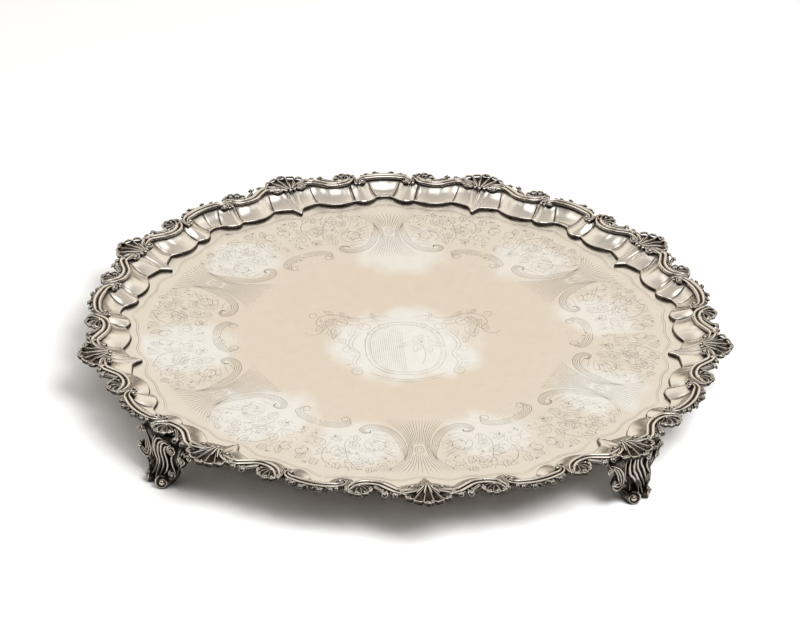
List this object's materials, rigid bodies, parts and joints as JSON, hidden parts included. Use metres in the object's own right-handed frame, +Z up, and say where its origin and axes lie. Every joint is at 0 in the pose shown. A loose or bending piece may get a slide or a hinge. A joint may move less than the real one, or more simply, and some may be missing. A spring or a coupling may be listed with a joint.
{
  "type": "footed salver",
  "caption": "Large round silver salver with an engraved floor, lobed panelled edge, cast shell and scroll border and scroll bracket feet.",
  "frame": {"origin": "centre of the outer box on the table plane under the feet; the tray's own axis lies 4.35 mm towards +Y because the border has an odd number of shells", "axes": "+Z up; -Y towards the viewer, so one shell points along -Y; +Y is the top of the engraved design"},
  "size_m": [0.5514, 0.5512, 0.0458],
  "materials": {
    "sheet_silver": "polished silver sheet, softly worn, with engraved line work",
    "cast_silver_shells": "cast silver with darkened recesses and polished high points",
    "cast_silver_scrolls": "cast silver moulding, polished, darkened in the grooves",
    "cast_silver_feet": "cast silver, oxidised in the recesses"
  },
  "bodies": {
    "root": {"foot_1": "cast_silver_feet", "foot_2": "cast_silver_feet", "foot_3": "cast_silver_feet", "foot_4": "cast_silver_feet", "plate": "sheet_silver", "scroll_casting_1": "cast_silver_scrolls", "scroll_casting_2": "cast_silver_scrolls", "scroll_casting_3": "cast_silver_scrolls", "scroll_casting_4": "cast_silver_scrolls", "scroll_casting_5": "cast_silver_scrolls", "scroll_casting_6": "cast_silver_scrolls", "scroll_casting_7": "cast_silver_scrolls", "scroll_casting_8": "cast_silver_scrolls", "scroll_casting_9": "cast_silver_scrolls", "shell_casting_1": "cast_silver_shells", "shell_casting_2": "cast_silver_shells", "shell_casting_3": "cast_silver_shells", "shell_casting_4": "cast_silver_shells", "shell_casting_5": "cast_silver_shells", "shell_casting_6": "cast_silver_shells", "shell_casting_7": "cast_silver_shells", "shell_casting_8": "cast_silver_shells", "shell_casting_9": "cast_silver_shells"}
  },
  "joints": []
}
